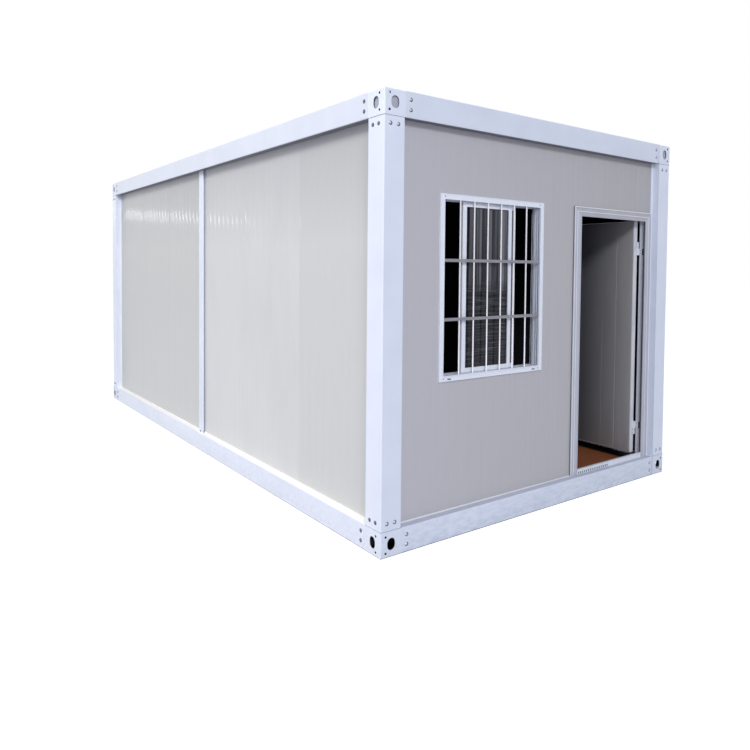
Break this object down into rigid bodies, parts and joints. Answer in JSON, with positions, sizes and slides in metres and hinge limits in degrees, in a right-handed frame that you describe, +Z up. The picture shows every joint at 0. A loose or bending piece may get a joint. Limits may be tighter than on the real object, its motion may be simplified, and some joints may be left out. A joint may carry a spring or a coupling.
{
  "type": "container office",
  "caption": "Flat-pack container office with steel frame, corner castings, sandwich panel walls, a barred sliding window and an inward opening door.",
  "frame": {"origin": "centre of the footprint at ground level", "axes": "+X to the right and +Z up as seen from in front of the door end wall, which faces -Y; +Y along the length, towards the rear end wall"},
  "size_m": [3, 6.055, 2.8],
  "materials": {
    "frame_paint": "semi-gloss white paint on folded steel",
    "panel_coating": "satin grey-white coating on steel-faced panels",
    "ceiling_coating": "satin white coating",
    "joist_steel": "plain galvanised steel",
    "floor_wood": "brown faced board",
    "roof_sheet_steel": "coated steel sheet",
    "window_plastic": "white plastic",
    "window_glass": "dark clear glass",
    "grille_steel": "dull grey metal",
    "door_frame_paint": "satin light grey paint",
    "door_paint": "satin light grey paint",
    "hinge_steel": "satin steel",
    "handle_steel": "satin steel"
  },
  "bodies": {
    "shell": {"base_corner_front_left": "frame_paint", "base_corner_front_right": "frame_paint", "base_corner_rear_left": "frame_paint", "base_corner_rear_right": "frame_paint", "roof_corner_front_left": "frame_paint", "roof_corner_front_right": "frame_paint", "roof_corner_rear_left": "frame_paint", "roof_corner_rear_right": "frame_paint", "post_front_left": "frame_paint", "post_front_right": "frame_paint", "post_rear_left": "frame_paint", "post_rear_right": "frame_paint", "base_rail_front": "frame_paint", "base_rail_rear": "frame_paint", "base_rail_left": "frame_paint", "base_rail_right": "frame_paint", "roof_rail_front": "frame_paint", "roof_rail_rear": "frame_paint", "roof_rail_left": "frame_paint", "roof_rail_right": "frame_paint", "floor_joists": "joist_steel", "floor_board": "floor_wood", "ceiling_panel": "ceiling_coating", "roof_beams": "joist_steel", "roof_sheet": "roof_sheet_steel", "left_wall": "panel_coating", "right_wall": "panel_coating", "rear_wall": "panel_coating", "front_wall": "panel_coating", "window_panel": "panel_coating", "over_door_panel": "panel_coating", "left_divider": "frame_paint", "right_divider": "frame_paint", "window_frame": "window_plastic", "grille_rods": "grille_steel", "grille_bars": "grille_steel", "window_sashes": "window_plastic", "window_glass": "window_glass", "door_frame_left": "door_frame_paint", "door_frame_right": "door_frame_paint", "door_frame_head": "door_frame_paint", "door_sill": "door_frame_paint", "frame_hinges": "hinge_steel"},
    "door": {"door_leaf": "door_paint", "door_handles": "handle_steel", "leaf_hinges": "hinge_steel"}
  },
  "joints": [
    {"name": "door_hinge", "type": "hinge", "parent": "shell", "child": "door", "pos_m": [1.2535, -2.9005, 1.17], "axis": [0, 0, 1], "range_deg": [-4, 90]}
  ]
}
